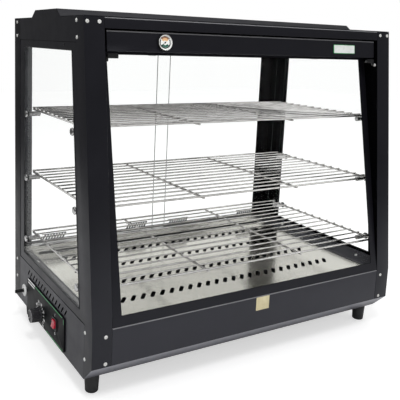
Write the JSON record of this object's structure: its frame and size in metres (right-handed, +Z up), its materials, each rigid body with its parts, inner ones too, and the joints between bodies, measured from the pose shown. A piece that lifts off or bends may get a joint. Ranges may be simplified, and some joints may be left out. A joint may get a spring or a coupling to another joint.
{
  "type": "countertop heated display case",
  "caption": "Black sheet-metal countertop warming cabinet with a leaning glass front, glass sides, wire shelves, sliding rear doors, side controls and a front dial thermometer.",
  "frame": {"origin": "centre of the overall footprint, at the level on which the feet stand", "axes": "+Z up, -Y towards the leaning glass front, -X towards the control plate"},
  "size_m": [0.9336, 0.55, 0.839],
  "materials": {
    "base_front_panel": "fine-grained black powder coat",
    "base_left_panel": "fine-grained black powder coat",
    "base_pan": "fine-grained black powder coat",
    "base_rear_panel": "fine-grained black powder coat",
    "base_right_panel": "fine-grained black powder coat",
    "cable_gland": "pale grey moulding",
    "ceiling_panel": "brushed stainless sheet",
    "control_plate": "satin dark print on thin sheet",
    "floor_plate": "brushed stainless sheet",
    "foot_front_left": "matt black",
    "foot_front_right": "matt black",
    "foot_rear_left": "matt black",
    "foot_rear_right": "matt black",
    "front_glass": "clear float glass",
    "front_heater": "heat-darkened tube",
    "front_left_post": "fine-grained black powder coat",
    "front_right_post": "fine-grained black powder coat",
    "front_window_frame": "fine-grained black powder coat",
    "lamp": "warm frosted tube",
    "left_door": "clear float glass",
    "left_glass": "clear float glass",
    "left_ledge": "brushed stainless sheet",
    "left_top_panel": "fine-grained black powder coat",
    "left_window_frame": "fine-grained black powder coat",
    "lower_door_track": "brushed stainless sheet",
    "lower_shelf": "bright plating",
    "middle_shelf": "bright plating",
    "power_rocker": "glossy translucent red",
    "rear_heater": "heat-darkened tube",
    "rear_left_post": "fine-grained black powder coat",
    "rear_right_post": "fine-grained black powder coat",
    "right_door": "clear float glass",
    "right_glass": "clear float glass",
    "right_ledge": "brushed stainless sheet",
    "right_top_panel": "fine-grained black powder coat",
    "right_window_frame": "fine-grained black powder coat",
    "roof_cover": "fine-grained black powder coat",
    "stud_lower_left_front": "bright plating",
    "stud_lower_left_rear": "bright plating",
    "stud_lower_right_front": "bright plating",
    "stud_lower_right_rear": "bright plating",
    "stud_middle_left_front": "bright plating",
    "stud_middle_left_rear": "bright plating",
    "stud_middle_right_front": "bright plating",
    "stud_middle_right_rear": "bright plating",
    "stud_upper_left_front": "bright plating",
    "stud_upper_left_rear": "bright plating",
    "stud_upper_right_front": "bright plating",
    "stud_upper_right_rear": "bright plating",
    "switch_body": "satin black moulding",
    "terminal_block": "pale moulded block",
    "thermometer_band": "fine-grained black powder coat",
    "thermometer_case": "bright plating",
    "thermometer_needle": "matt dark",
    "thermostat_body": "pale moulded body",
    "thermostat_knob": "satin black moulding",
    "top_front_rail": "fine-grained black powder coat",
    "top_rear_rail": "fine-grained black powder coat",
    "upper_door_track": "brushed stainless sheet",
    "upper_shelf": "bright plating"
  },
  "bodies": {
    "cabinet": {"base_front_panel": "base_front_panel", "base_left_panel": "base_left_panel", "base_pan": "base_pan", "base_rear_panel": "base_rear_panel", "base_right_panel": "base_right_panel", "cable_gland": "cable_gland", "ceiling_panel": "ceiling_panel", "control_plate": "control_plate", "floor_plate": "floor_plate", "foot_front_left": "foot_front_left", "foot_front_right": "foot_front_right", "foot_rear_left": "foot_rear_left", "foot_rear_right": "foot_rear_right", "front_glass": "front_glass", "front_heater": "front_heater", "front_left_post": "front_left_post", "front_right_post": "front_right_post", "front_window_frame": "front_window_frame", "lamp": "lamp", "left_glass": "left_glass", "left_ledge": "left_ledge", "left_top_panel": "left_top_panel", "left_window_frame": "left_window_frame", "lower_door_track": "lower_door_track", "rear_heater": "rear_heater", "rear_left_post": "rear_left_post", "rear_right_post": "rear_right_post", "right_glass": "right_glass", "right_ledge": "right_ledge", "right_top_panel": "right_top_panel", "right_window_frame": "right_window_frame", "roof_cover": "roof_cover", "stud_lower_left_front": "stud_lower_left_front", "stud_lower_left_rear": "stud_lower_left_rear", "stud_lower_right_front": "stud_lower_right_front", "stud_lower_right_rear": "stud_lower_right_rear", "stud_middle_left_front": "stud_middle_left_front", "stud_middle_left_rear": "stud_middle_left_rear", "stud_middle_right_front": "stud_middle_right_front", "stud_middle_right_rear": "stud_middle_right_rear", "stud_upper_left_front": "stud_upper_left_front", "stud_upper_left_rear": "stud_upper_left_rear", "stud_upper_right_front": "stud_upper_right_front", "stud_upper_right_rear": "stud_upper_right_rear", "switch_body": "switch_body", "terminal_block": "terminal_block", "thermometer_band": "thermometer_band", "thermometer_case": "thermometer_case", "thermostat_body": "thermostat_body", "top_front_rail": "top_front_rail", "top_rear_rail": "top_rear_rail", "upper_door_track": "upper_door_track"},
    "left_door": {"left_door": "left_door"},
    "right_door": {"right_door": "right_door"},
    "thermostat_knob": {"thermostat_knob": "thermostat_knob"},
    "power_rocker": {"power_rocker": "power_rocker"},
    "thermometer_needle": {"thermometer_needle": "thermometer_needle"},
    "lower_shelf": {"lower_shelf": "lower_shelf"},
    "middle_shelf": {"middle_shelf": "middle_shelf"},
    "upper_shelf": {"upper_shelf": "upper_shelf"}
  },
  "joints": [
    {"name": "left_door_slide", "type": "slide", "parent": "cabinet", "child": "left_door", "axis": [1, 0, 0], "range_m": [0, 0.4135]},
    {"name": "right_door_slide", "type": "slide", "parent": "cabinet", "child": "right_door", "axis": [1, 0, 0], "range_m": [-0.4135, 0]},
    {"name": "thermostat_turn", "type": "hinge", "parent": "cabinet", "child": "thermostat_knob", "pos_m": [-0.4398, 0.046, 0.076], "axis": [1, 0, 0], "range_deg": [0, 270]},
    {"name": "power_rock", "type": "hinge", "parent": "cabinet", "child": "power_rocker", "pos_m": [-0.4378, -0.0626, 0.099], "axis": [0, -1, 0], "range_deg": [0, 16]},
    {"name": "needle_turn", "type": "hinge", "parent": "cabinet", "child": "thermometer_needle", "pos_m": [-0.2442, -0.20186, 0.77221], "axis": [0, 0.9935, -0.1141], "range_deg": [0, 270]},
    {"name": "lower_shelf_lift", "type": "slide", "parent": "cabinet", "child": "lower_shelf", "axis": [0, 0, 1], "range_m": [0, 0.02]},
    {"name": "middle_shelf_lift", "type": "slide", "parent": "cabinet", "child": "middle_shelf", "axis": [0, 0, 1], "range_m": [0, 0.02]},
    {"name": "upper_shelf_lift", "type": "slide", "parent": "cabinet", "child": "upper_shelf", "axis": [0, 0, 1], "range_m": [0, 0.02]}
  ]
}
